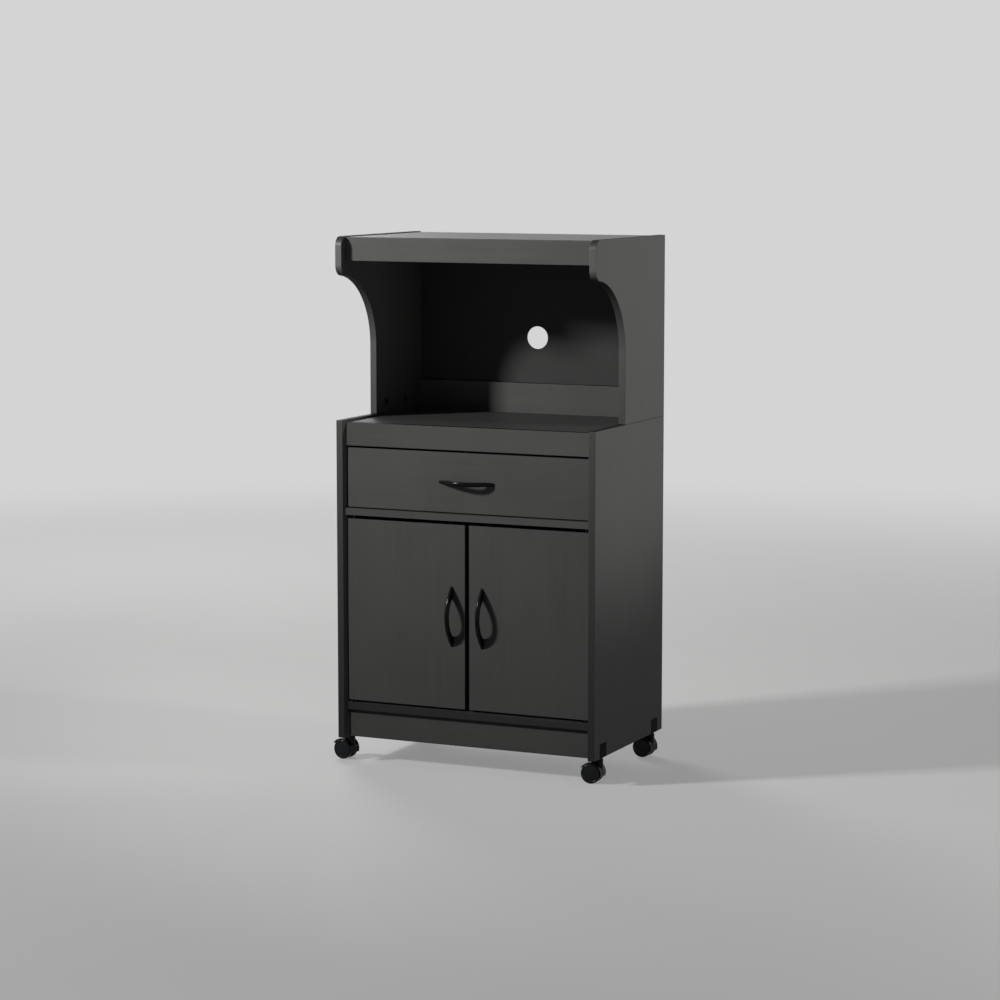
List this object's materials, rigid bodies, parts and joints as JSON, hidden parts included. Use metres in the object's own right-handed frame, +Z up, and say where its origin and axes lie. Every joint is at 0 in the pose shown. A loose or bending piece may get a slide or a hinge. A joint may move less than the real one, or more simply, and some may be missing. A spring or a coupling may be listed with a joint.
{
  "type": "kitchen cabinet",
  "caption": "Dark grey kitchen cabinet on swivel casters, with an open appliance bay over a drawer and a cupboard closed by a pair of hinged doors.",
  "frame": {"origin": "on the floor, at the middle of the carcass's plan", "axes": "+Z up, +Y from the doors towards the back, +X to the right as seen from the front"},
  "size_m": [0.6332, 0.395, 1.135],
  "materials": {
    "laminate": "dark grey satin melamine with a faint grain on particle board",
    "back_board": "thin hardboard with a dark grey face and a raw brown back",
    "drawer_board": "dark grey foil on drawer boards",
    "zinc_fittings": "zinc plated",
    "black_handle": "black gloss",
    "black_plastic": "black satin moulding",
    "dark_fittings": "black zinc plated",
    "caster_plastic": "black semi-gloss nylon hood",
    "wheel_plastic": "black nylon wheel"
  },
  "bodies": {
    "carcass": {"base_side_left": "laminate", "base_side_right": "laminate", "worktop": "laminate", "worktop_fascia": "laminate", "middle_panel": "laminate", "bottom_panel": "laminate", "toe_kick": "laminate", "base_back_panel": "back_board", "cupboard_shelf": "laminate", "shelf_pins": "zinc_fittings", "hutch_side_left": "laminate", "hutch_side_right": "laminate", "hutch_top": "laminate", "hutch_fascia": "laminate", "hutch_back_panel": "back_board", "hutch_back_rail": "laminate", "cam_locks": "dark_fittings", "cam_bolts": "zinc_fittings", "runner_left": "black_plastic", "runner_right": "black_plastic", "runner_screws": "zinc_fittings", "caster_sockets": "black_plastic", "hinge_bushes": "black_plastic", "door_catch": "black_plastic", "catch_magnets": "zinc_fittings"},
    "drawer": {"drawer_front": "laminate", "drawer_side_left": "drawer_board", "drawer_side_right": "drawer_board", "drawer_back": "drawer_board", "drawer_bottom": "back_board", "drawer_cam_locks": "zinc_fittings", "drawer_cam_bolts": "zinc_fittings", "drawer_handle": "black_handle", "drawer_handle_screws": "zinc_fittings"},
    "door_left": {"door_left": "laminate", "door_left_pivot_pins": "dark_fittings", "door_left_strike": "zinc_fittings", "door_left_handle": "black_handle", "door_left_handle_screws": "zinc_fittings"},
    "door_right": {"door_right": "laminate", "door_right_pivot_pins": "dark_fittings", "door_right_strike": "zinc_fittings", "door_right_handle": "black_handle", "door_right_handle_screws": "zinc_fittings"},
    "front_left_caster": {"front_left_caster_body": "caster_plastic", "front_left_caster_pins": "dark_fittings"},
    "front_left_wheel_a": {"front_left_wheel_a": "wheel_plastic"},
    "front_left_wheel_b": {"front_left_wheel_b": "wheel_plastic"},
    "front_right_caster": {"front_right_caster_body": "caster_plastic", "front_right_caster_pins": "dark_fittings"},
    "front_right_wheel_a": {"front_right_wheel_a": "wheel_plastic"},
    "front_right_wheel_b": {"front_right_wheel_b": "wheel_plastic"},
    "rear_left_caster": {"rear_left_caster_body": "caster_plastic", "rear_left_caster_pins": "dark_fittings"},
    "rear_left_wheel_a": {"rear_left_wheel_a": "wheel_plastic"},
    "rear_left_wheel_b": {"rear_left_wheel_b": "wheel_plastic"},
    "rear_right_caster": {"rear_right_caster_body": "caster_plastic", "rear_right_caster_pins": "dark_fittings"},
    "rear_right_wheel_a": {"rear_right_wheel_a": "wheel_plastic"},
    "rear_right_wheel_b": {"rear_right_wheel_b": "wheel_plastic"}
  },
  "joints": [
    {"name": "drawer_slide", "type": "slide", "parent": "carcass", "child": "drawer", "axis": [0, -1, 0], "range_m": [0, 0.24]},
    {"name": "door_left_hinge", "type": "hinge", "parent": "carcass", "child": "door_left", "pos_m": [-0.2703, -0.1675, 0.137], "axis": [0, 0, -1], "range_deg": [0, 100]},
    {"name": "door_right_hinge", "type": "hinge", "parent": "carcass", "child": "door_right", "pos_m": [0.2703, -0.1675, 0.137], "axis": [0, 0, 1], "range_deg": [0, 100]},
    {"name": "front_left_swivel", "type": "hinge", "parent": "carcass", "child": "front_left_caster", "pos_m": [-0.2925, -0.144, 0.055], "axis": [0, 0, 1], "continuous": true},
    {"name": "front_left_wheel_a_spin", "type": "hinge", "parent": "front_left_caster", "child": "front_left_wheel_a", "pos_m": [-0.30834, -0.14177, 0.0215], "axis": [-0.1392, -0.9903, 0], "continuous": true},
    {"name": "front_left_wheel_b_spin", "type": "hinge", "parent": "front_left_caster", "child": "front_left_wheel_b", "pos_m": [-0.30834, -0.14177, 0.0215], "axis": [-0.1392, -0.9903, 0], "continuous": true},
    {"name": "front_right_swivel", "type": "hinge", "parent": "carcass", "child": "front_right_caster", "pos_m": [0.2925, -0.144, 0.055], "axis": [0, 0, 1], "continuous": true},
    {"name": "front_right_wheel_a_spin", "type": "hinge", "parent": "front_right_caster", "child": "front_right_wheel_a", "pos_m": [0.27654, -0.14512, 0.0215], "axis": [0.0698, -0.9976, 0], "continuous": true},
    {"name": "front_right_wheel_b_spin", "type": "hinge", "parent": "front_right_caster", "child": "front_right_wheel_b", "pos_m": [0.27654, -0.14512, 0.0215], "axis": [0.0698, -0.9976, 0], "continuous": true},
    {"name": "rear_left_swivel", "type": "hinge", "parent": "carcass", "child": "rear_left_caster", "pos_m": [-0.2925, 0.144, 0.055], "axis": [0, 0, 1], "continuous": true},
    {"name": "rear_left_wheel_a_spin", "type": "hinge", "parent": "rear_left_caster", "child": "rear_left_wheel_a", "pos_m": [-0.30841, 0.14567, 0.0215], "axis": [-0.1045, -0.9945, 0], "continuous": true},
    {"name": "rear_left_wheel_b_spin", "type": "hinge", "parent": "rear_left_caster", "child": "rear_left_wheel_b", "pos_m": [-0.30841, 0.14567, 0.0215], "axis": [-0.1045, -0.9945, 0], "continuous": true},
    {"name": "rear_right_swivel", "type": "hinge", "parent": "carcass", "child": "rear_right_caster", "pos_m": [0.2925, 0.144, 0.055], "axis": [0, 0, 1], "continuous": true},
    {"name": "rear_right_wheel_a_spin", "type": "hinge", "parent": "rear_right_caster", "child": "rear_right_wheel_a", "pos_m": [0.27654, 0.14512, 0.0215], "axis": [-0.0698, -0.9976, 0], "continuous": true},
    {"name": "rear_right_wheel_b_spin", "type": "hinge", "parent": "rear_right_caster", "child": "rear_right_wheel_b", "pos_m": [0.27654, 0.14512, 0.0215], "axis": [-0.0698, -0.9976, 0], "continuous": true}
  ]
}
